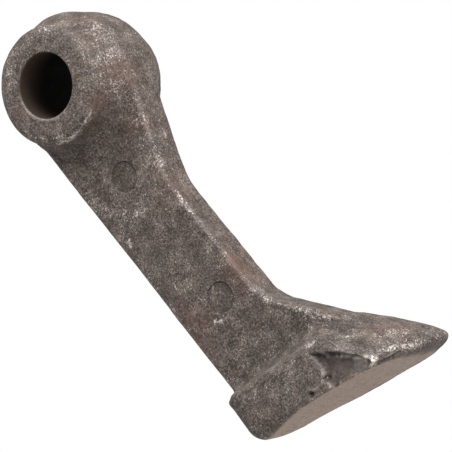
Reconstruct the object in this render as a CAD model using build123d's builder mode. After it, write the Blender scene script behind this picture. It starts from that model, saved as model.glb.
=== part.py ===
from build123d import *
from math import cos, radians, sin, tan
import os

os.makedirs("parts", exist_ok=True)

# Frame in millimetres: origin at the middle of the bore, +Y along it, +X to the toe, +Z to the crown

# Boss
bore_d = 25.0
bore_lead = 0.6
boss_width = 44.0
collar_wall = 10.8
collar_edge_r = 3.0
collar_foot_r = 4.0
crown_wall = 16.2

# Shank
web_t = 15.0
web_edge_r = 3.5
shank_back = 26.0
shank_front = 8.4
neck_angle = 21.8
neck_bend_r = 22.0
nape_r = 12.0

# Head in side view, drops measured at the bore axis
rake_top = 116.5
rake_angle = 35.2
rake_bend_r = 22.0
shoulder_drop = 138.4
shoulder_angle = 8.7
heel_step = 1.0
heel_r = 7.0
sole_drop = 162.6
sole_angle = 15.4
grind_depth = 1.5
nose_r = 4.0

# Half widths of the head, fanning out from the heel to the toe
heel_top_half = 15.5
heel_sole_half = 17.0
fan_station = 14.0
fan_top_half = 15.0
fan_sole_half = 24.0
toe_sole_half = 23.0
toe_corner_r = 8.0

# Rounded edges of the head
rake_edge_r = 7.0
shoulder_edge_r = 5.0
heel_edge_r = 7.0
crease_r = 3.0

# Ejector pin marks on the near face of the shank
mark_d = 11.4
mark_depth = 0.4
mark_back = 6.3
mark_drops = (42.8, 105.2)

# Piece torn out of the near flank behind the cutting corner
tear_start = 15.5
tear_end = 33.5
tear_start_height = 15.0
tear_end_height = 5.0
tear_depth = 4.0
tear_wall_angle = 30.0
tear_proud = 1.0

# Stock beyond the finished faces
spare = 15.0

bore_r = bore_d / 2
collar_r = bore_r + collar_wall
crown_r = bore_r + crown_wall
heel_back = shank_back + heel_step
near_face = -web_t / 2


def slope(angle):
    return tan(radians(angle))


def shoulder_z(x):
    return -shoulder_drop - x * slope(shoulder_angle)


def sole_z(x):
    return -sole_drop - x * slope(sole_angle)


def raw_sole_z(x):
    return sole_z(x) - grind_depth


def rake_x(z):
    return shank_front + (-rake_top - z) * slope(rake_angle)


def beside_web(edge):
    return abs(edge.center().Y) > web_t / 2


def on_shoulder(edge, reach):
    return abs(edge.center().Z - shoulder_z(edge.center().X)) < reach


# Web: round crown, tapering neck, straight shank and the front that runs out into the rake
tangent_x = crown_r * cos(radians(neck_angle))
tangent_z = -crown_r * sin(radians(neck_angle))
neck_z = tangent_z - (tangent_x - shank_front) / slope(neck_angle)
nape_z = -((crown_r**2 - shank_back**2) ** 0.5)
web_foot = -shoulder_drop - spare
web_bends = (
    ((shank_front, neck_z), neck_bend_r),
    ((shank_front, -rake_top), rake_bend_r),
    ((-shank_back, nape_z), nape_r),
)

with BuildPart() as web:
    with BuildSketch(Plane.XZ) as web_outline:
        with BuildLine():
            Polyline(
                (0, 0),
                (tangent_x, tangent_z),
                (shank_front, neck_z),
                (shank_front, -rake_top),
                (rake_x(web_foot), web_foot),
                (-shank_back, web_foot),
                (-shank_back, nape_z),
                close=True,
            )
        make_face()
        Circle(crown_r)
        for corner, bend_r in web_bends:
            fillet(web_outline.vertices().sort_by_distance(corner)[0], bend_r)
    extrude(amount=web_t / 2, both=True)
    rim = web.faces().filter_by(Plane.XZ).edges()
    fillet(rim.filter_by(lambda edge: edge.center().Z > web_foot + web_edge_r), web_edge_r)

# Head blank: ruled sections from the heel through the widest station to the toe
raw_nose_drop = sole_drop + grind_depth - rake_top
nose_x = (shank_front + raw_nose_drop * slope(rake_angle)) / (1 - slope(sole_angle) * slope(rake_angle))
blank_foot = raw_sole_z(nose_x) - spare
head_sections = (
    (-heel_back, heel_top_half, heel_sole_half),
    (fan_station, fan_top_half, fan_sole_half),
    (nose_x, fan_top_half, toe_sole_half),
)

with BuildPart() as head:
    for station, top_half, sole_half in head_sections:
        top = shoulder_z(station)
        flare = (sole_half - top_half) / (top - sole_z(station))
        foot_half = top_half + flare * (top - blank_foot)
        with BuildSketch(Plane.YZ.offset(station)):
            with BuildLine():
                Polyline(
                    (-top_half, top),
                    (top_half, top),
                    (foot_half, blank_foot),
                    (-foot_half, blank_foot),
                    close=True,
                )
            make_face()
    loft(ruled=True)

    # Rake face and back of the heel
    with BuildSketch(Plane.XZ):
        with BuildLine():
            Polyline(
                (-heel_back, -rake_top),
                (shank_front, -rake_top),
                (rake_x(blank_foot - spare), blank_foot - spare),
                (-heel_back, blank_foot - spare),
                close=True,
            )
        make_face()
    extrude(amount=boss_width, both=True, mode=Mode.INTERSECT)

    flanks = head.edges().filter_by(beside_web)
    rake_sides = flanks.filter_by(lambda edge: edge.center().X > rake_x(-shoulder_drop))
    rake_sides = rake_sides.filter_by(lambda edge: edge.center().Z > sole_z(edge.center().X))
    fillet(rake_sides, rake_edge_r)
    heel_sides = head.edges().filter_by(beside_web)
    heel_sides = heel_sides.filter_by(lambda edge: edge.center().X < spare / 1000 - heel_back)
    fillet(heel_sides, heel_edge_r)
    shoulder_sides = head.edges().filter_by(beside_web).filter_by(lambda edge: on_shoulder(edge, 0.3))
    fillet(shoulder_sides.filter_by(lambda edge: edge.length > heel_edge_r), shoulder_edge_r)

    # Heel corner, rough sole and nose
    heel_corner = (-heel_back, raw_sole_z(-heel_back))
    nose_corner = (nose_x, raw_sole_z(nose_x))
    with BuildSketch(Plane.XZ) as foot_view:
        with BuildLine():
            Polyline(
                heel_corner,
                nose_corner,
                (shank_front, -rake_top),
                (-heel_back, -rake_top),
                close=True,
            )
        make_face()
        fillet(foot_view.vertices().sort_by_distance(heel_corner)[0], heel_r)
        fillet(foot_view.vertices().sort_by_distance(nose_corner)[0], nose_r)
    extrude(amount=boss_width, both=True, mode=Mode.INTERSECT)

    # Rounded cutting corners in plan
    toe_tip = head.part.bounding_box().max.X
    with BuildSketch(Plane.XY.offset(blank_foot)) as plan_view:
        with Locations((toe_tip, 0)):
            Rectangle(toe_tip - fan_station, 2 * fan_sole_half, align=(Align.MAX, Align.CENTER))
        fillet(plan_view.vertices().group_by(Axis.X)[-1], toe_corner_r)
        with Locations((fan_station, 0)):
            Rectangle(fan_station + heel_back, 2 * boss_width, align=(Align.MAX, Align.CENTER))
    extrude(amount=-blank_foot, mode=Mode.INTERSECT)

    # Ground sole
    with BuildSketch(Plane.XZ):
        with BuildLine():
            Polyline(
                (-heel_back - spare, sole_z(-heel_back - spare)),
                (nose_x, sole_z(nose_x)),
                (nose_x, blank_foot),
                (-heel_back - spare, blank_foot),
                close=True,
            )
        make_face()
    extrude(amount=boss_width, both=True, mode=Mode.SUBTRACT)

# Hammer: boss collars, web and head in one piece
with BuildPart() as hammer:
    add(web.part)
    with BuildSketch(Plane.XZ):
        Circle(collar_r)
    extrude(amount=boss_width / 2, both=True)
    collar_rims = hammer.edges().filter_by(GeomType.CIRCLE)
    collar_rims = collar_rims.filter_by(lambda edge: abs(edge.radius - collar_r) < bore_lead)
    fillet(collar_rims.filter_by(lambda edge: abs(edge.center().Y) > web_t / 2 + bore_lead), collar_edge_r)
    foot_rims = hammer.edges().filter_by(GeomType.CIRCLE).filter_by(lambda edge: edge.is_closed)
    foot_rims = foot_rims.filter_by(lambda edge: abs(abs(edge.center().Y) - web_t / 2) < bore_lead)
    fillet(foot_rims, collar_foot_r)
    add(head.part)
    crease = hammer.edges().filter_by(lambda edge: on_shoulder(edge, 1.0))
    crease = crease.filter_by(lambda edge: abs(abs(edge.center().Y) - web_t / 2) < web_edge_r)
    fillet(crease, crease_r)

    # Bore with broken edges
    with BuildSketch(Plane.XZ):
        Circle(bore_r)
    extrude(amount=boss_width, both=True, mode=Mode.SUBTRACT)
    bore_rims = hammer.edges().filter_by(GeomType.CIRCLE)
    bore_rims = bore_rims.filter_by(lambda edge: abs(edge.radius - bore_r) < bore_lead)
    chamfer(bore_rims, bore_lead)

    # Ejector pin marks
    with BuildSketch(Plane.XZ.offset(-near_face - mark_depth)):
        with Locations(*[(-mark_back, -drop) for drop in mark_drops]):
            Circle(mark_d / 2)
    extrude(amount=spare, mode=Mode.SUBTRACT)

    # Tear in the near flank, open to the sole
    tear_middle = (tear_start + tear_end) / 2
    flank_rise = shoulder_z(tear_middle) - sole_z(tear_middle)
    flank_tilt = (fan_sole_half - fan_top_half) / flank_rise
    stretch = (1 + flank_tilt**2) ** 0.5
    flank_plane = Plane(
        origin=(0, -fan_sole_half, sole_z(tear_middle)),
        x_dir=(1, 0, 0),
        z_dir=(0, -1, flank_tilt),
    )
    with BuildSketch(flank_plane.offset(tear_proud)):
        with BuildLine():
            Polyline(
                (tear_start, (sole_z(tear_start) - sole_z(tear_middle) + tear_start_height) * stretch),
                (tear_end, (sole_z(tear_end) - sole_z(tear_middle) + tear_end_height) * stretch),
                (tear_end + tear_end_height, -spare),
                (tear_start, -spare),
                close=True,
            )
        make_face()
    extrude(amount=-tear_depth - tear_proud, taper=tear_wall_angle, mode=Mode.SUBTRACT)

hammer.part.label = "hammer"
export_step(hammer.part, "parts/hammer.step")
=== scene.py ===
from math import cos, radians, sin, tan

import bmesh
import bpy
import numpy as np
from mathutils import Matrix, Vector


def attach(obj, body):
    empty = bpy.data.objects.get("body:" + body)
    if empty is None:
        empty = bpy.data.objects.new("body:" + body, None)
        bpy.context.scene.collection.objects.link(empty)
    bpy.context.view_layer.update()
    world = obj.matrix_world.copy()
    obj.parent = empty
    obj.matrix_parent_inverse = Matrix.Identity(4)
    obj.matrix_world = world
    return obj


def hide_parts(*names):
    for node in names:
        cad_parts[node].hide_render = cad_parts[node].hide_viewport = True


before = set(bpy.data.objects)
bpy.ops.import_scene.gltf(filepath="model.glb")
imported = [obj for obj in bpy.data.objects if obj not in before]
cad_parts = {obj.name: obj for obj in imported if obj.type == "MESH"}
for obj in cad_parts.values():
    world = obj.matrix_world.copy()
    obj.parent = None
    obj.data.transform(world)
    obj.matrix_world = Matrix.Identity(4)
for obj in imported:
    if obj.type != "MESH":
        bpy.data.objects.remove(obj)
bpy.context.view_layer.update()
print("frame loaded", list(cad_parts))

mm = 0.001

# The hammer's worn shape in millimetres, in the CAD frame: X to the toe, Y along the bore, Z to the crown
hammerShape = {
    "boreRadius": 12.5,
    "boreLead": 0.6,
    "collarRadii": (23.1, 24.2),
    "collarHalf": 22.0,
    "collarEdge": 2.6,
    "bevelStart": 20.3,
    "bevelAngle": 24.0,
    "bevelEdge": 1.0,
    "collarFlares": (6.0, 13.0),
    "crownRadius": 28.7,
    "webHalf": 8.0,
    "webMiddle": 1.0,
    "webEdges": (1.3, 2.6),
    "shankBack": 27.1,
    "shankFront": 8.1,
    "neckAngle": 21.8,
    "neckBend": 22.0,
    "napeRise": 5.0,
    "napeBend": (5.0, 19.0),
    "rakeTop": 116.5,
    "rakeAngle": 35.2,
    "rakeBend": 22.0,
    "creaseDrop": 138.4,
    "creaseAngle": 8.7,
    "creaseFill": 2.6,
    "webDepth": 7.0,
    "webRoot": 7.0,
    "ridgeDrop": 142.8,
    "ridgeAngle": 13.5,
    "ridgeEdge": 1.7,
    "heelBack": 29.1,
    "heelStepEdge": 3.0,
    "heelStepDrop": 2.0,
    "heelStepBend": (12.0, 30.0),
    "heelEdge": 5.6,
    "soleDrop": 162.6,
    "soleAngle": 15.4,
    "soleEdge": 1.0,
    "toeEdge": 2.4,
    "heelBelly": 3.2,
    "topHalves": (15.5, 16.5),
    "soleHalves": (16.6, 22.6),
    "fanReach": (-40.0, 22.0),
    "toeNear": 35.0,
    "toeSlant": 0.14,
    "toePoint": 0.33,
    "toeCorners": (14.0, 7.0),
    "rakeEdges": (6.0, 3.6),
    "slopePoint": (19.4, -15.0, -147.3),
    "slopeNormal": (0.705, -0.365, 0.607),
    "slopeEdge": 2.0,
    "lipStart": (37.0, -172.8),
    "lipRise": 0.085,
    "lipEdge": 2.0,
}


def bothOf(a, b, edge):
    # the larger of two distances: inside both, with the outer edge rounded to the radius edge
    overlap = np.hypot(np.maximum(a + edge, 0), np.maximum(b + edge, 0))
    return np.minimum(-edge, np.maximum(a, b)) + overlap


def eitherOf(a, b, fill):
    # the smaller of two distances: inside either, with the inner corner filled to the radius fill
    overlap = np.hypot(np.maximum(fill - a, 0), np.maximum(fill - b, 0))
    return np.maximum(fill, np.minimum(a, b)) - overlap


def bentOf(a, b, bend, angle):
    # inside either of two faces that meet at a shallow angle, joined by a parabola close to the bend's arc
    reach = 4 * bend * (1 / cos(radians(angle) / 2) - 1)
    overlap = np.maximum(reach - np.abs(a - b), 0) / reach
    return np.minimum(a, b) - overlap**2 * reach / 4


def smoothStep(low, high, value):
    # 0 before low and 1 past high, with the cubic 3t^2 - 2t^3 between them; low may be the larger one
    part = np.clip((value - low) / (high - low), 0.0, 1.0)
    return part * part * (3.0 - 2.0 * part)


# Heights of the sole, the crease and the ridge at x: straight lines that fall towards the toe
def soleHeight(x):
    return -hammerShape["soleDrop"] - x * tan(radians(hammerShape["soleAngle"]))


def creaseHeight(x):
    return -hammerShape["creaseDrop"] - x * tan(radians(hammerShape["creaseAngle"]))


def ridgeHeight(x):
    return -hammerShape["ridgeDrop"] - x * tan(radians(hammerShape["ridgeAngle"]))


def sideView(x, z):
    # distance to the outline seen along the bore: the crown's circle joined to the shank's front and back,
    # with the neck and the rake as straight lines that lean from the front by their angles
    shape = hammerShape
    neck, rake = radians(shape["neckAngle"]), radians(shape["rakeAngle"])
    crown = np.hypot(x, z) - shape["crownRadius"]
    front = x - shape["shankFront"]
    neckFace = x * cos(neck) - z * sin(neck) - shape["crownRadius"]
    rakeFace = front * cos(rake) + (z + shape["rakeTop"]) * sin(rake)
    front = bentOf(front, neckFace, shape["neckBend"], shape["neckAngle"])
    front = bentOf(front, rakeFace, shape["rakeBend"], shape["rakeAngle"])
    top = -shape["crownRadius"] * sin(neck) + shape["napeRise"] * smoothStep(0.0, 20.0, -x)
    strip = np.maximum(np.maximum(front, -x - shape["shankBack"]), z - top)
    heelTop = z - creaseHeight(x) + shape["heelStepDrop"]
    heel = bothOf(-x - shape["heelBack"], heelTop, shape["heelStepEdge"])
    heel = np.maximum(heel, front)
    return bentOf(crown, bentOf(strip, heel, *shape["heelStepBend"]), *shape["napeBend"])


def crossView(x, y, z):
    # distance to the section across the shank: the flat web joined to the head, whose roof falls from the
    # crease to the ridge and whose flanks lean outwards from the ridge to the sole
    shape = hammerShape
    beside = np.abs(y - shape["webMiddle"])
    narrow, wide = shape["soleHalves"]
    fan = smoothStep(*shape["fanReach"], x)
    narrowTop, wideTop = shape["topHalves"]
    topHalf = narrowTop + (wideTop - narrowTop) * fan
    soleHalf = narrow + (wide - narrow) * fan
    crease, ridge = creaseHeight(x), ridgeHeight(x)
    roof = (crease - ridge) / (topHalf - shape["webHalf"])
    flare = (soleHalf - topHalf) / (ridge - soleHeight(x))
    roofFace = (z - crease + (beside - shape["webHalf"]) * roof) / np.hypot(1, roof)
    flankFace = (beside - topHalf - (ridge - z) * flare) / np.hypot(1, flare)

    # blunt toe in plan, slanting back to the near corner and, by a soft ramp, to the far one
    toe = x - shape["toeNear"] - shape["toeSlant"] * (y + 23.0)
    toe = (toe - shape["toePoint"] * 2.0 * np.logaddexp(0, (y - 4.0) / 2.0)) * 0.94
    nearCorner, farCorner = shape["toeCorners"]
    wall = bothOf(flankFace, toe, nearCorner + (farCorner - nearCorner) * smoothStep(-8.0, 8.0, y))
    head = bothOf(roofFace, wall, shape["ridgeEdge"])

    # near half of the rake face, which slopes down to the flank
    place, normal = shape["slopePoint"], shape["slopeNormal"]
    slope = (x - place[0]) * normal[0] + (y - place[1]) * normal[1] + (z - place[2]) * normal[2]
    head = bothOf(head, slope, shape["slopeEdge"])
    web = bothOf(beside - shape["webHalf"], crease - shape["webDepth"] - z, shape["webRoot"])
    return eitherOf(web, head, shape["creaseFill"])


def hammerDistance(points):
    # distance to the whole hammer: inside both views and the sole, or inside a collar, and outside the bore
    shape = hammerShape
    x, y, z = points[:, 0], points[:, 1], points[:, 2]
    side = sideView(x, z)
    backEdge, frontEdge = shape["webEdges"]
    webEdge = backEdge + (frontEdge - backEdge) * smoothStep(-22.0, -8.0, x)
    low = smoothStep(0.0, 1.0, (creaseHeight(x) + 4.0 - z) / 12.0)
    nearEdge, farEdge = shape["rakeEdges"]
    edge = nearEdge + (farEdge - nearEdge) * smoothStep(-6.0, 10.0, y)
    body = bothOf(side, crossView(x, y, z), webEdge + (edge - webEdge) * low)

    # ground sole, bellied under the heel and lifted to a lip at the toe
    belly = shape["heelBelly"] * smoothStep(0.0, 32.0, -x) * smoothStep(22.0, -6.0, y)
    sole = (soleHeight(x) - belly - z) * cos(radians(shape["soleAngle"]))
    lipX, lipZ = shape["lipStart"]
    sole = bothOf(sole, lipZ + (x - lipX) * shape["lipRise"] - z, shape["lipEdge"])
    soleEdge = shape["soleEdge"] + shape["heelEdge"] * smoothStep(0.0, 24.0, -x)
    soleEdge = soleEdge + shape["toeEdge"] * smoothStep(27.0, 38.0, x)
    body = bothOf(body, sole, soleEdge)

    # collars with a bevelled rim
    away = np.hypot(x, z)
    tilt = radians(shape["bevelAngle"])
    faceGap = np.abs(y) - shape["collarHalf"]
    nearRadius, farRadius = shape["collarRadii"]
    collarRadius = nearRadius + (farRadius - nearRadius) * smoothStep(-8.0, 8.0, y)
    collar = bothOf(away - collarRadius, faceGap, shape["collarEdge"])
    bevel = (away - shape["bevelStart"]) * sin(tilt) + faceGap * cos(tilt)
    collar = bothOf(collar, bevel, shape["bevelEdge"])
    lower, front = shape["collarFlares"]
    towardsFront = smoothStep(-0.25, 0.75, (0.95 * x + 0.3 * z) / np.maximum(away, 1.0))
    body = eitherOf(body, collar, lower + (front - lower) * towardsFront)
    body = bothOf(body, side, webEdge)

    # bore with broken edges
    inBore = shape["boreRadius"] - away
    lead = (inBore + faceGap + shape["boreLead"]) * 0.7071
    return np.maximum(np.maximum(body, inBore), lead)


# How the skin is built and roughened; lengths in millimetres
skinBuild = {
    "voxel": 0.66,
    "fitRounds": 4,
    "longestStep": 1.5,
    "waves": ((26.0, 0.30), (9.0, 0.15), (3.4, 0.09), (1.5, 0.06)),
    "pitCell": 4.2,
    "pitDepth": 0.30,
    "flowCells": (1.6, 26.0),
    "flowDepth": 0.16,
}

# The torn flank, as places along X and heights above the sole; lengths in millimetres
tear = {
    "outline": ((13.2, 17.0), (21.0, 12.9), (25.5, 10.0), (29.1, 6.6), (31.2, 2.4), (29.0, -1.0),
                (15.0, -1.0), (13.4, 3.6), (15.0, 8.5)),
    "depth": 2.3,
    "wall": 1.1,
    "rim": ((16.5, 13.8), (21.0, 11.2), (25.5, 8.3), (28.8, 5.2)),
    "pits": ((13.9, 4.9, 1.7, 1.5), (5.6, 2.6, 1.6, 1.3), (23.0, 6.0, 3.4, 0.7)),
    "curl": ((4.5, 4.4), (8.5, 3.0), (12.2, 4.0), (14.6, 8.0)),
    "curlHeight": 0.6,
}

pinMarks = {
    "places": ((-6.3, -42.8), (-6.3, -105.2)),
    "radius": 5.7,
    "depth": 0.4,
}

rustPatches = (
    ((19.0, -8.0, -14.0), 9.0, 1.0),
    ((11.0, -17.5, -20.5), 5.5, 1.0),
    ((8.0, -5.5, -102.0), 8.5, 1.0),
    ((-24.0, -7.0, -104.0), 12.0, 0.7),
    ((9.0, -6.0, -60.0), 10.0, 0.5),
    ((11.0, -7.0, -30.0), 8.0, 0.6),
    ((36.0, 0.0, -160.0), 9.0, 0.5),
)

# Seeds of the random lattices, one for each use
seeds = {
    "ragged": 3,
    "raggedFine": 4,
    "groundToe": 5,
    "groundFarEdgeShade": 6,
    "waves": 10,
    "pits": 21,
    "pitPatches": 22,
    "flow": 31,
    "flakeEdge": 41,
    "flakePatches": 42,
    "strayRust": 51,
    "bright": 61,
    "torn": 62,
}

# Where worn, streaked, rusty and ground places, painted shade and painted highlights begin and end, and how
# strong they are; lengths in millimetres
wear = {
    "groundTilt": (0.90, 0.965),
    "groundToe": (38.0, 32.0),
    "groundFarEdgeShade": (3.2, 0.8),
    "edgeRise": (0.18, 0.75),
    "hollow": (-0.08, -0.5),
    "fineHollow": (-0.04, -0.16),
    "backEdgeShade": 0.7,
    "rakeStreaks": 0.6,
    "ridgeHighlight": 0.8,
    "creaseShade": 0.75,
    "edgeFlakes": 0.3,
    "faceRim": 0.9,
    "outerRim": 1.0,
    "boreRim": 0.5,
    "strayRust": 0.25,
}

# Lines and places where the scale has flaked to bright specks: ends, reach and strength
flakedLines = (
    ((12.1, -5.1, -46.9), (7.7, -5.8, -63.6), 1.8, 0.9),
    ((7.7, -5.8, -63.6), (6.7, -6.7, -73.9), 1.6, 0.8),
    ((6.7, -6.7, -76.0), (7.1, -6.7, -108.0), 1.5, 0.2),
    ((7.1, -6.7, -113.9), (10.9, -6.5, -122.4), 2.0, 0.85),
    ((10.9, -6.5, -122.4), (22.9, -6.8, -141.1), 2.0, 0.95),
    ((17.0, -7.0, -30.0), (10.0, -6.0, -50.0), 4.0, 0.45),
    ((10.0, -17.0, -144.5), (26.6, -11.7, -153.6), 0.8, 0.75),
    ((26.6, -11.7, -153.6), (35.3, -7.6, -161.9), 0.8, 0.75),
    ((32.0, -16.5, -168.4), (43.0, 12.0, -171.0), 2.2, 1.05),
    ((21.0, -14.0, -6.0), (20.0, -14.0, -16.0), 6.0, 0.5),
    ((24.0, -9.0, 4.0), (18.0, -9.0, -20.0), 6.0, 0.6),
    ((-27.0, -17.0, -144.0), (8.0, -17.0, -147.0), 1.6, 0.4),
    ((-16.0, -20.0, 14.0), (16.0, -20.0, 16.0), 5.0, 0.45),
    ((-14.4, -7.0, -109.8), (-13.2, -7.0, -111.8), 1.0, 1.3),
    ((-17.5, -7.0, -84.6), (-18.4, -7.0, -89.4), 0.6, 1.0),
    ((-22.2, -7.0, -61.6), (-22.6, -7.0, -63.0), 1.0, 1.2),
    ((15.0, 2.9, -39.8), (13.8, 1.7, -42.9), 0.5, 1.6),
    ((-24.0, -7.0, -40.0), (-14.0, -7.0, -60.0), 4.0, 0.4),
    ((27.0, -14.0, -152.0), (40.0, 2.0, -166.0), 4.0, 0.35),
    ((-24.0, -18.0, -150.0), (-26.0, -10.0, -158.0), 2.5, 0.6),
)


def makeLattice(seed, size=40):
    return np.random.default_rng(seed).random((size, size, size))


def valueNoise(points, cell, seed):
    # random numbers on a cubic lattice, blended by a cubic ease between the eight corners
    lattice = makeLattice(seed)
    size = lattice.shape[0]
    place = points / cell + 1000.0
    corner = np.floor(place).astype(int)
    part = place - corner
    ease = part * part * (3.0 - 2.0 * part)
    low = corner % size
    high = (corner + 1) % size
    total = np.zeros(len(points))
    for takeX in (0, 1):
        for takeY in (0, 1):
            for takeZ in (0, 1):
                weight = ease[:, 0] if takeX else 1 - ease[:, 0]
                weight = weight * (ease[:, 1] if takeY else 1 - ease[:, 1])
                weight = weight * (ease[:, 2] if takeZ else 1 - ease[:, 2])
                cornerX = high[:, 0] if takeX else low[:, 0]
                cornerY = high[:, 1] if takeY else low[:, 1]
                cornerZ = high[:, 2] if takeZ else low[:, 2]
                total += weight * lattice[cornerX, cornerY, cornerZ]
    return total * 2.0 - 1.0


def slopeOf(points, reach=0.05):
    # direction in which the distance grows, by central differences
    slope = np.zeros_like(points)
    for axis in range(3):
        shift = np.zeros(3)
        shift[axis] = reach
        slope[:, axis] = hammerDistance(points + shift) - hammerDistance(points - shift)
    return slope / (2 * reach)


def fitToShape(points, rounds):
    # each point goes down the slope of the distance until it lies on the surface
    for turn in range(rounds):
        slope = slopeOf(points)
        size = np.maximum((slope**2).sum(1), 0.2)
        step = -hammerDistance(points) / size
        move = slope * step[:, None]
        length = np.maximum(np.linalg.norm(move, axis=1), 1e-9)
        move *= np.minimum(1.0, skinBuild["longestStep"] / length)[:, None]
        points = points + move
    return points


def lineDistance(points, start, end):
    # distance to the nearest place on the straight line from start to end
    start, end = np.array(start), np.array(end)
    along = np.clip(((points - start) @ (end - start)) / ((end - start) @ (end - start)), 0, 1)
    return np.linalg.norm(points - start - along[:, None] * (end - start), axis=1)


def outlineDepth(places, outline):
    # distance to the closed outline, positive inside it
    nearest = np.full(len(places), 1e9)
    inside = np.zeros(len(places), bool)
    for number, start in enumerate(outline):
        end = outline[(number + 1) % len(outline)]
        nearest = np.minimum(nearest, lineDistance(places, start, end))
        crosses = (places[:, 1] < start[1]) != (places[:, 1] < end[1])
        rise = (end[1] - start[1]) or 1e-9
        crossing = start[0] + (places[:, 1] - start[1]) * (end[0] - start[0]) / rise
        inside ^= crosses & (places[:, 0] < crossing)
    return np.where(inside, nearest, -nearest)


def readPoints(mesh):
    flat = np.empty(len(mesh.vertices) * 3)
    mesh.vertices.foreach_get("co", flat)
    return flat.reshape(-1, 3) / mm


def writePoints(mesh, points):
    mesh.vertices.foreach_set("co", (points * mm).ravel())
    mesh.update()


def evenFaces(piece):
    # closed mesh of small even faces from a voxel remesh, with the modifier applied
    remesh = piece.modifiers.new("even_faces", "REMESH")
    remesh.mode = "VOXEL"
    remesh.voxel_size = skinBuild["voxel"] * mm
    bpy.context.view_layer.update()
    shaped = bpy.data.meshes.new_from_object(piece.evaluated_get(bpy.context.evaluated_depsgraph_get()))
    piece.modifiers.clear()
    piece.data = shaped


# A merged copy of the solid, remeshed into even small faces and fitted to the worn shape
def makeSkin():
    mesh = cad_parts["hammer"].data.copy()
    piece = bpy.data.objects.new("hammer_skin", mesh)
    bpy.context.scene.collection.objects.link(piece)
    work = bmesh.new()
    work.from_mesh(mesh)
    bmesh.ops.remove_doubles(work, verts=work.verts, dist=1e-6)
    work.to_mesh(mesh)
    work.free()
    mesh.materials.clear()
    evenFaces(piece)
    writePoints(piece.data, fitToShape(readPoints(piece.data), skinBuild["fitRounds"]))
    evenFaces(piece)
    writePoints(piece.data, fitToShape(readPoints(piece.data), 2))
    piece.data.name = "hammer_skin"
    return piece


skin = makeSkin()
print("skin faces", len(skin.data.polygons))

points = readPoints(skin.data)
outward = slopeOf(points)
outward /= np.maximum(np.linalg.norm(outward, axis=1), 1e-9)[:, None]
x, y, z = points[:, 0], points[:, 1], points[:, 2]
height = z - soleHeight(x)
away = np.hypot(x, z)
nearSide = smoothStep(-4.0, -8.0, y)

# Where the skin differs from plain scale, each from 0 to 1
soleTilt = radians(hammerShape["soleAngle"])
soleNormal = np.array([-sin(soleTilt), 0.0, -cos(soleTilt)])
facesDown = outward @ soleNormal
ground = smoothStep(*wear["groundTilt"], facesDown) * smoothStep(-60.0, -120.0, z)
ground *= smoothStep(*wear["groundToe"], x + 1.5 * valueNoise(points, 2.5, seeds["groundToe"]))
# painted shade: the ground colour gives way to darker scale along the sole's rounded far edge
narrow, wide = hammerShape["soleHalves"]
farEdge = hammerShape["webMiddle"] + narrow + (wide - narrow) * smoothStep(*hammerShape["fanReach"], x)
farGap = farEdge - y + 0.8 * valueNoise(points, 2.5, seeds["groundFarEdgeShade"])
ground *= 1 - 0.75 * smoothStep(*wear["groundFarEdgeShade"], farGap)
inBore = smoothStep(hammerShape["boreRadius"] + 0.5, hammerShape["boreRadius"] + 0.1, away)
onFace = smoothStep(0.8, 0.2, np.abs(np.abs(y) - hammerShape["collarHalf"])) * (away < 24)

places = np.stack([x, height], axis=1)
ragged = 0.5 * valueNoise(points, 2.0, seeds["ragged"])
ragged = ragged + 0.25 * valueNoise(points, 0.9, seeds["raggedFine"])
tearInside = outlineDepth(places, tear["outline"]) + ragged
onFlank = nearSide * smoothStep(0.2, -0.2, outward[:, 1]) * (1 - ground)
torn = smoothStep(0.0, tear["wall"], tearInside) * onFlank
# painted highlight: a lit band just under the upper edge of the torn place, and a lit spot near its front
# end
tornRim = np.min([lineDistance(places, a, b) for a, b in zip(tear["rim"], tear["rim"][1:])], axis=0)
tornEdgeHighlight = smoothStep(1.1, 0.2, tornRim + 0.4 * ragged)
tornEdgeHighlight = np.maximum(tornEdgeHighlight, smoothStep(1.7, 0.5, np.hypot(x - 30.0, height - 4.4) + ragged)) * onFlank
curlGap = np.min([lineDistance(places, a, b) for a, b in zip(tear["curl"], tear["curl"][1:])], axis=0)
curl = smoothStep(1.0, 0.1, curlGap + 0.4 * ragged) * onFlank

# Forged skin: waves of several lengths, pits, and flow lines down the rake; the back is smoother
plainSkin = (1 - ground) * (1 - inBore) * (1 - 0.7 * onFace)
swell = np.zeros(len(points))
for number, (cell, size) in enumerate(skinBuild["waves"]):
    swell += size * valueNoise(points, cell, seeds["waves"] + number)
pits = smoothStep(0.35, 0.8, valueNoise(points, skinBuild["pitCell"], seeds["pits"]))
swell -= skinBuild["pitDepth"] * pits * smoothStep(-0.3, 0.5, valueNoise(points, 17.0, seeds["pitPatches"]))
rake = radians(hammerShape["rakeAngle"])
downRake = x * sin(rake) - z * cos(rake)
across, along = skinBuild["flowCells"]
flowPlaces = np.stack([y / across, downRake / along, (x * cos(rake) + z * sin(rake)) / across], axis=1)
facesRake = outward[:, 0] * cos(rake) + outward[:, 2] * sin(rake)
onRake = smoothStep(0.45, 0.8, facesRake) * smoothStep(-122.0, -136.0, z)
swell *= 1 - 0.65 * smoothStep(0.4, 0.9, -outward[:, 0])
swell += skinBuild["flowDepth"] * onRake * valueNoise(flowPlaces, 1.0, seeds["flow"])

marks = np.zeros(len(points))
for markX, markZ in pinMarks["places"]:
    reach = np.hypot(x - markX, z - markZ)
    inside = smoothStep(pinMarks["radius"] + 0.2, pinMarks["radius"] - 0.5, reach)
    marks = np.maximum(marks, inside * nearSide)

pitted = np.zeros(len(points))
for pitX, pitHeight, radius, depth in tear["pits"]:
    reach = np.hypot(x - pitX, height - pitHeight)
    pitted = np.maximum(pitted, depth * smoothStep(radius, 0.3 * radius, reach) * onFlank)

moved = points + outward * (swell * plainSkin - pinMarks["depth"] * marks)[:, None]
# the torn place is deepest at its top and runs out towards the sole
moved[:, 1] += tear["depth"] * torn * (0.55 + 0.45 * smoothStep(0.0, 9.0, height)) + pitted
moved[:, 1] -= tear["curlHeight"] * curl * (1 - 0.5 * torn)
writePoints(skin.data, moved)
print("skin shaped")

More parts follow.
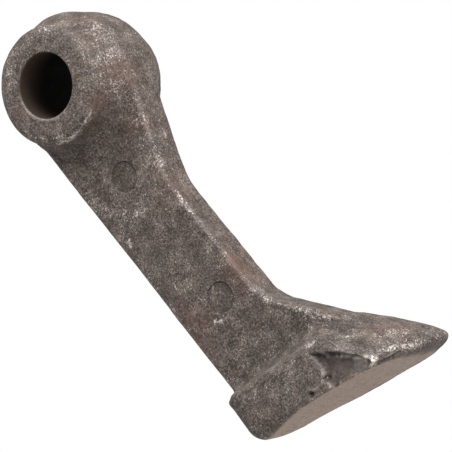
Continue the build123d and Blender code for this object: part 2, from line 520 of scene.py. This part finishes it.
# Masks for the materials
edges = np.empty(len(skin.data.edges) * 2, int)
skin.data.edges.foreach_get("vertices", edges)
edges = edges.reshape(-1, 2)


def neighbourMean(values, rounds):
    # each value becomes the mean of those at the other ends of its edges, again and again
    count = np.zeros(len(values))
    np.add.at(count, edges.ravel(), 1)
    for turn in range(rounds):
        total = np.zeros_like(values)
        np.add.at(total, edges[:, 0], values[edges[:, 1]])
        np.add.at(total, edges[:, 1], values[edges[:, 0]])
        values = total / (count[:, None] if values.ndim > 1 else count)
    return values


# height of a point over the mean of its surroundings: edges stand out, hollows lie below
broad = ((moved - neighbourMean(moved, 12)) * outward).sum(1)
fine = ((moved - neighbourMean(moved, 3)) * outward).sum(1)
edgeWearAndHighlight = smoothStep(*wear["edgeRise"], broad) * plainSkin
# painted shade: hollows are darkened where shade falls in them
shadeAndStreaks = np.maximum(smoothStep(*wear["hollow"], broad), smoothStep(*wear["fineHollow"], fine))

# painted shade darkens the near back edge of the shank
backEdgeShade = smoothStep(-21.5, -26.5, x) * nearSide
backEdgeShade *= smoothStep(-35.0, -55.0, z)
backEdgeShade *= smoothStep(-138.0, -130.0, z)
shadeAndStreaks = np.maximum(shadeAndStreaks, wear["backEdgeShade"] * backEdgeShade)

# streaks left by the flow of the metal down the rake
streaks = valueNoise(flowPlaces, 1.0, seeds["flow"]) * onRake
shadeAndStreaks = np.maximum(shadeAndStreaks, wear["rakeStreaks"] * smoothStep(0.1, 0.7, -streaks))
edgeWearAndHighlight = np.maximum(edgeWearAndHighlight, wear["rakeStreaks"] * smoothStep(0.1, 0.7, streaks))

# painted highlight along the ridge of the flank, and painted shade in a band above the crease
onHead = smoothStep(-30.0, -24.0, x) * smoothStep(24.0, 12.0, x) * nearSide
ridgeHighlight = np.exp(-((z - ridgeHeight(x) - 0.6) / 1.3) ** 2) * smoothStep(-10.0, -13.0, y) * onHead
edgeWearAndHighlight = np.maximum(edgeWearAndHighlight, wear["ridgeHighlight"] * ridgeHighlight)
creaseShade = np.exp(-((z - creaseHeight(x) - 2.5) / 3.2) ** 2) * onHead
shadeAndStreaks = np.maximum(shadeAndStreaks, wear["creaseShade"] * creaseShade)

flaked = np.zeros(len(points))
for start, end, reach, strength in flakedLines:
    gap = lineDistance(points, start, end) + 0.8 * valueNoise(points, 3.0, seeds["flakeEdge"])
    flaked = np.maximum(flaked, strength * smoothStep(reach * 1.8, 0.0, gap))
flaked = np.maximum(flaked, wear["edgeFlakes"] * edgeWearAndHighlight)
nearFace = smoothStep(-16.0, -19.0, y) * smoothStep(2.0, -10.0, z)
faceRim = np.exp(-((away - hammerShape["bevelStart"]) / 0.5) ** 2) * smoothStep(4.0, -6.0, x)
outerRim = np.exp(-((away - hammerShape["collarRadii"][0] + 0.4) / 0.7) ** 2)
outerRim *= smoothStep(-18.0, -8.0, x) * smoothStep(12.0, 5.0, x)
flaked = np.maximum(flaked, nearFace * np.maximum(wear["faceRim"] * faceRim, wear["outerRim"] * outerRim))
flaked = np.clip(flaked * (0.75 + 0.5 * valueNoise(points, 5.0, seeds["flakePatches"])), 0, 1)
flaked = flaked * (1 - ground) - 0.6 * torn

rust = np.zeros(len(points))
for place, reach, strength in rustPatches:
    near = np.exp(-(np.linalg.norm(points - np.array(place), axis=1) / reach) ** 2)
    rust = np.maximum(rust, strength * near)
rust = rust + wear["strayRust"] * smoothStep(0.2, 0.8, valueNoise(points, 14.0, seeds["strayRust"]))
rust = np.clip(rust, 0, 1) * (1 - ground)

# bare metal on the curl, with painted highlights along the torn rim and on part of the bore's near rim
bright = np.clip(np.maximum(0.6 * curl * (1 - pitted), 0.85 * tornEdgeHighlight), 0, 1)
bright = bright * smoothStep(-0.5, 0.6, valueNoise(points, 1.4, seeds["bright"]))
boreRim = np.exp(-((away - hammerShape["boreRadius"] - 0.35) / 0.25) ** 2) * smoothStep(-21.0, -21.6, y)
boreRim *= smoothStep(3.0, -5.0, x) * smoothStep(8.0, 2.0, z)
bright = np.maximum(bright, wear["boreRim"] * boreRim)
# painted shade in the torn recess and its pits, on the torn metal's own colour
shade = np.clip(torn * (0.75 + 0.25 * valueNoise(points, 2.5, seeds["torn"])) + pitted, 0, 1)


def addMask(name, values):
    layer = skin.data.attributes.new(name, "FLOAT", "POINT")
    layer.data.foreach_set("value", values.astype(np.float32))


for name, values in (
    ("ground", ground),
    ("inBore", inBore),
    ("flaked", flaked),
    ("rust", rust),
    ("shadeAndStreaks", shadeAndStreaks),
    ("edgeWearAndHighlight", edgeWearAndHighlight),
    ("torn", shade),
    ("bright", bright),
):
    addMask(name, values)
for face in skin.data.polygons:
    face.use_smooth = True
print("masks done")

# Colours of the scale, rust, bare metal and ground sole, of painted shade and painted highlights, and how
# they lie
finish = {
    "darkScale": (0.033, 0.026, 0.022, 1),
    "paleScale": (0.275, 0.224, 0.192, 1),
    "rust": (0.145, 0.066, 0.045, 1),
    "brown": (0.135, 0.084, 0.055, 1),
    "speck": (0.78, 0.70, 0.64, 1),
    "bareMetalAndHighlight": (0.50, 0.46, 0.43, 1),
    # colour of the painted shade, also used for the dark rake streaks
    "shadeAndStreakColour": (0.020, 0.016, 0.014, 1),
    "groundDark": (0.215, 0.155, 0.122, 1),
    "groundPale": (0.500, 0.380, 0.300, 1),
    "groundStain": (0.17, 0.118, 0.090, 1),
    "bore": (0.060, 0.042, 0.031, 1),
    "deepBoreShade": (0.006, 0.005, 0.004, 1),
    "torn": (0.034, 0.022, 0.017, 1),
    "grainSize": 0.75 * mm,
    "dotSize": 0.62 * mm,
    "warmSize": 3.2 * mm,
    "blotchSize": 1.6 * mm,
    "stainSize": 6.0 * mm,
    "patchSize": 5.5 * mm,
    "speckSize": 0.95 * mm,
    "scratchSize": 0.56 * mm,
    "shadeAndStreakShare": 0.5,
    "wearAndHighlightShare": 0.28,
    "ringShadeShare": 0.75,
    "discShadeShare": 0.3,
    "tornShadeShare": 0.85,
    "pitShare": 0.6,
    "speckShare": 0.85,
    "ringDepth": 1.8,
    "discDepth": 2.4,
    "bumpStrength": 0.75,
    "bumpDistance": 0.22 * mm,
}


class NodeTree:
    # short calls for nodes and links, in a material or in a node group
    def __init__(self, tree):
        self.tree = tree

    def node(self, kind, **settings):
        made = self.tree.nodes.new(kind)
        for name, value in settings.items():
            setattr(made, name, value)
        return made

    def plug(self, socket, value):
        if isinstance(value, bpy.types.NodeSocket):
            self.tree.links.new(value, socket)
        else:
            socket.default_value = value

    def math(self, operation, first, second=0.0, third=0.0):
        made = self.node("ShaderNodeMath", operation=operation)
        for socket, value in zip(made.inputs, (first, second, third)):
            self.plug(socket, value)
        return made.outputs[0]

    def step(self, value, low, high, toLow=0.0, toHigh=1.0):
        made = self.node("ShaderNodeMapRange", interpolation_type="SMOOTHSTEP")
        for socket, entry in zip(made.inputs, (value, low, high, toLow, toHigh)):
            self.plug(socket, entry)
        return made.outputs[0]

    def mix(self, amount, first, second, blend="MIX"):
        made = self.node("ShaderNodeMix", data_type="RGBA", blend_type=blend)
        self.plug(made.inputs["Factor"], amount)
        self.plug(made.inputs["A"], first)
        self.plug(made.inputs["B"], second)
        return made.outputs["Result"]

    def noise(self, place, size, detail=2.0, rough=0.55):
        made = self.node("ShaderNodeTexNoise")
        self.plug(made.inputs["Vector"], place)
        self.plug(made.inputs["Scale"], 1 / size)
        self.plug(made.inputs["Detail"], detail)
        self.plug(made.inputs["Roughness"], rough)
        return made.outputs["Fac"]

    def objectPlace(self):
        return self.node("ShaderNodeTexCoord").outputs["Object"]


def makeGroup(name, inputs, outputs):
    tree = bpy.data.node_groups.new(name, "ShaderNodeTree")
    for label in inputs:
        tree.interface.new_socket(label, in_out="INPUT", socket_type="NodeSocketFloat")
    for label in outputs:
        tree.interface.new_socket(label, in_out="OUTPUT", socket_type="NodeSocketFloat")
    nodes = NodeTree(tree)
    return nodes, nodes.node("NodeGroupInput"), nodes.node("NodeGroupOutput")


# Grain of the scale, its broad patches and the bright specks, whose number grows with Flaked
def makeGrainGroup():
    nodes, given, made = makeGroup("scale_grain", ["Flaked"], ["Grain", "Patch", "Speck", "Pit", "Height"])
    place = nodes.objectPlace()
    grain = nodes.noise(place, finish["grainSize"], 4.0, 0.75)
    patch = nodes.noise(place, finish["patchSize"], 3.0, 0.6)
    flecks = nodes.noise(place, finish["speckSize"], 5.0, 0.82)
    few = nodes.math("MULTIPLY_ADD", given.outputs["Flaked"], -0.17, 0.625)
    few = nodes.math("MULTIPLY_ADD", nodes.math("SUBTRACT", patch, 0.5), -0.28, few)
    speck = nodes.step(flecks, few, nodes.math("ADD", few, 0.06))

    # each cell holds one round dot, pale, dark or none by the cell's own random colour
    cells = nodes.node("ShaderNodeTexVoronoi")
    nodes.plug(cells.inputs["Vector"], place)
    nodes.plug(cells.inputs["Scale"], 1 / finish["dotSize"])
    chance = nodes.node("ShaderNodeSeparateColor")
    nodes.plug(chance.inputs[0], cells.outputs["Color"])
    dot = nodes.step(cells.outputs["Distance"], 0.5, 0.25)
    rare = nodes.math("MULTIPLY_ADD", given.outputs["Flaked"], -0.5, 0.90)
    rare = nodes.math("MULTIPLY_ADD", nodes.math("SUBTRACT", patch, 0.5), -0.9, rare)
    chosen = nodes.step(chance.outputs["Red"], rare, nodes.math("ADD", rare, 0.12))
    pale = nodes.math("MULTIPLY", chosen, dot)
    pale = nodes.math("MULTIPLY", pale, nodes.step(chance.outputs["Blue"], 0.0, 1.0, 0.25, 0.85))
    speck = nodes.math("MAXIMUM", speck, pale)
    pit = nodes.math("MULTIPLY", nodes.step(chance.outputs["Green"], 0.72, 0.80), dot)
    height = nodes.math("ADD", grain, nodes.math("MULTIPLY", speck, 0.3))
    height = nodes.math("SUBTRACT", height, nodes.math("MULTIPLY", pit, 0.4))
    results = {"Grain": grain, "Patch": patch, "Speck": speck, "Pit": pit, "Height": height}
    for label, value in results.items():
        nodes.plug(made.inputs[label], value)
    return nodes.tree


# Rings left by the ejector pins: 1 on the line of each circle, and a second mask inside it
def makeRingGroup():
    nodes, unused, made = makeGroup("pin_rings", [], ["Ring", "Disc"])
    place = nodes.objectPlace()
    parts = nodes.node("ShaderNodeSeparateXYZ")
    nodes.plug(parts.inputs[0], place)
    nearSide = nodes.step(parts.outputs["Y"], -4 * mm, -6 * mm)
    wobble = nodes.math("MULTIPLY", nodes.math("SUBTRACT", nodes.noise(place, 3 * mm), 0.5), 0.8 * mm)
    ring, disc = 0.0, 0.0
    for markX, markZ in pinMarks["places"]:
        offX = nodes.math("SUBTRACT", parts.outputs["X"], markX * mm)
        offZ = nodes.math("SUBTRACT", parts.outputs["Z"], markZ * mm)
        square = nodes.math("ADD", nodes.math("MULTIPLY", offX, offX), nodes.math("MULTIPLY", offZ, offZ))
        away = nodes.math("ADD", nodes.math("SQRT", square), wobble)
        gap = nodes.math("ABSOLUTE", nodes.math("SUBTRACT", away, pinMarks["radius"] * mm))
        ring = nodes.math("MAXIMUM", nodes.step(gap, 0.5 * mm, 0.05 * mm), ring)
        inside = nodes.step(away, (pinMarks["radius"] + 0.1) * mm, (pinMarks["radius"] - 0.3) * mm)
        disc = nodes.math("MAXIMUM", inside, disc)
    nodes.plug(made.inputs["Ring"], nodes.math("MULTIPLY", ring, nearSide))
    nodes.plug(made.inputs["Disc"], nodes.math("MULTIPLY", disc, nearSide))
    return nodes.tree


def makeSkinMaterial():
    material = bpy.data.materials.new("forged_scale")
    material.use_nodes = True
    nodes = NodeTree(material.node_tree)
    shader = material.node_tree.nodes["Principled BSDF"]

    def mask(name):
        return nodes.node("ShaderNodeAttribute", attribute_name=name).outputs["Fac"]

    grain = nodes.node("ShaderNodeGroup", node_tree=makeGrainGroup())
    nodes.plug(grain.inputs["Flaked"], mask("flaked"))
    rings = nodes.node("ShaderNodeGroup", node_tree=makeRingGroup())
    place = nodes.objectPlace()

    # scale
    tone = nodes.math("MULTIPLY_ADD", grain.outputs["Patch"], 0.9, -0.45)
    tone = nodes.math("ADD", tone, nodes.math("MULTIPLY_ADD", grain.outputs["Grain"], 3.0, -1.13))
    colour = nodes.mix(nodes.step(tone, 0.0, 1.0), finish["darkScale"], finish["paleScale"])
    warm = nodes.step(nodes.noise(place, finish["warmSize"], 3.0, 0.6), 0.50, 0.72, 0.0, 0.5)
    colour = nodes.mix(warm, colour, finish["brown"])
    blotches = nodes.step(nodes.noise(place, finish["blotchSize"], 3.0), 0.35, 0.62, 0.1, 0.7)
    colour = nodes.mix(nodes.math("MULTIPLY", mask("rust"), blotches), colour, finish["rust"])
    # painted shade in hollows, along the near back edge and above the crease, mixed with the dark rake
    # streaks
    dark = nodes.math("MULTIPLY", mask("shadeAndStreaks"), finish["shadeAndStreakShare"])
    colour = nodes.mix(dark, colour, finish["shadeAndStreakColour"])
    # worn edges paled, with a painted highlight along the flank's ridge and the light rake streaks
    paleWearAndHighlight = nodes.math("MULTIPLY", mask("edgeWearAndHighlight"), finish["wearAndHighlightShare"])
    colour = nodes.mix(paleWearAndHighlight, colour, finish["paleScale"])
    # painted shade in the pin rings, their recesses and the torn place; then dark pits and pale specks of
    # the scale
    for value, share, tint in (
        (rings.outputs["Ring"], "ringShadeShare", "darkScale"),
        (rings.outputs["Disc"], "discShadeShare", "darkScale"),
        (mask("torn"), "tornShadeShare", "torn"),
        (grain.outputs["Pit"], "pitShare", "darkScale"),
        (grain.outputs["Speck"], "speckShare", "speck"),
    ):
        colour = nodes.mix(nodes.math("MULTIPLY", value, finish[share]), colour, finish[tint])
    # bare metal on the curl, and painted highlights on the torn rim and the bore's rim
    colour = nodes.mix(mask("bright"), colour, finish["bareMetalAndHighlight"])

    # ground sole, with fine marks across its length
    stretch = nodes.node("ShaderNodeMapping")
    stretch.inputs["Rotation"].default_value = (0, radians(-hammerShape["soleAngle"]), 0)
    stretch.inputs["Scale"].default_value = (1.0, 0.12, 1.0)
    nodes.plug(stretch.inputs["Vector"], place)
    scratch = nodes.noise(stretch.outputs[0], finish["scratchSize"], 2.0)
    speckle = nodes.noise(place, 0.5 * mm, 2.0)
    lit = nodes.math("ADD", nodes.math("MULTIPLY", scratch, 0.45), nodes.math("MULTIPLY", speckle, 0.75))
    sole = nodes.mix(nodes.step(lit, 0.42, 0.76), finish["groundDark"], finish["groundPale"])
    stain = nodes.step(nodes.noise(place, finish["stainSize"], 3.0), 0.5, 0.75, 0.0, 0.3)
    sole = nodes.mix(stain, sole, finish["groundStain"])
    colour = nodes.mix(mask("ground"), colour, sole)

    # bore, painted darker from the near face inwards as painted shade in the hole
    inwards = nodes.node("ShaderNodeSeparateXYZ")
    nodes.plug(inwards.inputs[0], place)
    inwardShade = nodes.step(inwards.outputs["Y"], -21 * mm, -6 * mm)
    bore = nodes.mix(inwardShade, finish["bore"], finish["deepBoreShade"])
    colour = nodes.mix(nodes.math("MULTIPLY", mask("inBore"), 0.97), colour, bore)
    nodes.plug(shader.inputs["Base Color"], colour)

    rough = nodes.math("MULTIPLY_ADD", grain.outputs["Grain"], 0.25, 0.42)
    rough = nodes.math("SUBTRACT", rough, nodes.math("MULTIPLY", grain.outputs["Speck"], 0.2))
    rough = nodes.math("SUBTRACT", rough, nodes.math("MULTIPLY", mask("bright"), 0.2))
    nodes.plug(shader.inputs["Roughness"], rough)
    shine = nodes.math("MULTIPLY", nodes.math("MAXIMUM", mask("bright"), grain.outputs["Speck"]), 0.4)
    nodes.plug(shader.inputs["Metallic"], shine)
    nodes.plug(shader.inputs["Specular IOR Level"], nodes.math("MULTIPLY_ADD", mask("inBore"), -0.42, 0.45))

    height = grain.outputs["Height"]
    for label, depth in (("Ring", "ringDepth"), ("Disc", "discDepth")):
        height = nodes.math("SUBTRACT", height, nodes.math("MULTIPLY", rings.outputs[label], finish[depth]))
    rest = nodes.math("MULTIPLY_ADD", mask("ground"), -0.93, 1.0)
    height = nodes.math("MULTIPLY", height, rest)
    marks = nodes.math("MULTIPLY", scratch, mask("ground"))
    height = nodes.math("ADD", height, nodes.math("MULTIPLY", marks, 0.12))
    bump = nodes.node("ShaderNodeBump")
    bump.inputs["Strength"].default_value = finish["bumpStrength"]
    bump.inputs["Distance"].default_value = finish["bumpDistance"]
    nodes.plug(bump.inputs["Height"], height)
    nodes.plug(shader.inputs["Normal"], bump.outputs["Normal"])
    return material


skin.data.materials.append(makeSkinMaterial())
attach(skin, "root")
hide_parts("hammer")
print("material done")

# Camera: long lens from the near side, in front and below, rolled so that the shank runs to the lower right
cameraSetup = {
    "place": (418.2 * mm, -768.5 * mm, -421.5 * mm),
    "target": (10.9 * mm, 0.0, -85.25 * mm),
    "roll": 38.9,
    "lens": 199.1,
}


def makeCamera():
    data = bpy.data.cameras.new("camera")
    data.lens = cameraSetup["lens"]
    data.sensor_width = 36.0
    data.clip_start = 0.05
    data.clip_end = 20.0
    camera = bpy.data.objects.new("camera", data)
    place = Vector(cameraSetup["place"])
    forward = (Vector(cameraSetup["target"]) - place).normalized()
    right = forward.cross(Vector((0, 0, 1))).normalized()
    up = right.cross(forward)
    roll = radians(cameraSetup["roll"])
    turnedRight = right * cos(roll) - up * sin(roll)
    turnedUp = right * sin(roll) + up * cos(roll)
    turn = Matrix((turnedRight, turnedUp, -forward)).transposed()
    camera.matrix_world = Matrix.Translation(place) @ turn.to_4x4()
    bpy.context.scene.collection.objects.link(camera)
    bpy.context.scene.camera = camera
    return turnedRight, turnedUp, forward


sight = makeCamera()

# Studio: soft boxes placed along the picture's right, up and away, with size in metres and power in watts
softBoxes = {
    "upper_right": ((0.35, 0.80, -0.45), 0.50, 7.0),
    "lower_right": ((0.70, -0.60, -0.35), 0.40, 6.0),
    "upper_left": ((-0.60, 0.70, -0.35), 0.45, 4.5),
    "front": ((0.20, 0.20, -1.00), 0.70, 0.6),
}
studio = {
    "distance": 0.85,
    "worldStrength": 0.42,
    "floorHeight": -0.62,
    "floorSize": 6.0,
}


def makeLights():
    target = Vector(cameraSetup["target"])
    for name, (direction, size, power) in softBoxes.items():
        data = bpy.data.lights.new(name, "AREA")
        data.size = size
        data.energy = power
        light = bpy.data.objects.new(name, data)
        toLight = sum((axis * amount for axis, amount in zip(sight, direction)), Vector()).normalized()
        light.location = target + toLight * studio["distance"]
        light.rotation_euler = toLight.to_track_quat("Z", "Y").to_euler()
        bpy.context.scene.collection.objects.link(light)


def makeFloor():
    reach = studio["floorSize"] / 2
    corners = [(-reach, -reach, 0), (reach, -reach, 0), (reach, reach, 0), (-reach, reach, 0)]
    mesh = bpy.data.meshes.new("floor")
    mesh.from_pydata(corners, [], [(0, 1, 2, 3)])
    floor = bpy.data.objects.new("floor", mesh)
    floor.location.z = studio["floorHeight"]
    bpy.context.scene.collection.objects.link(floor)
    pale = bpy.data.materials.new("pale_floor")
    pale.use_nodes = True
    shader = pale.node_tree.nodes["Principled BSDF"]
    shader.inputs["Base Color"].default_value = (0.82, 0.82, 0.82, 1)
    shader.inputs["Roughness"].default_value = 0.8
    mesh.materials.append(pale)


def makeWorld():
    # white to the camera, softer white light for everything else
    world = bpy.data.worlds.new("studio")
    bpy.context.scene.world = world
    world.use_nodes = True
    nodes = NodeTree(world.node_tree)
    background = world.node_tree.nodes["Background"]
    background.inputs["Color"].default_value = (1, 1, 1, 1)
    seen = nodes.node("ShaderNodeLightPath").outputs["Is Camera Ray"]
    soft = studio["worldStrength"]
    nodes.plug(background.inputs["Strength"], nodes.math("MULTIPLY_ADD", seen, 1.0 - soft, soft))


makeLights()
makeFloor()
makeWorld()
bpy.context.scene.view_settings.view_transform = "Standard"
print("studio done")
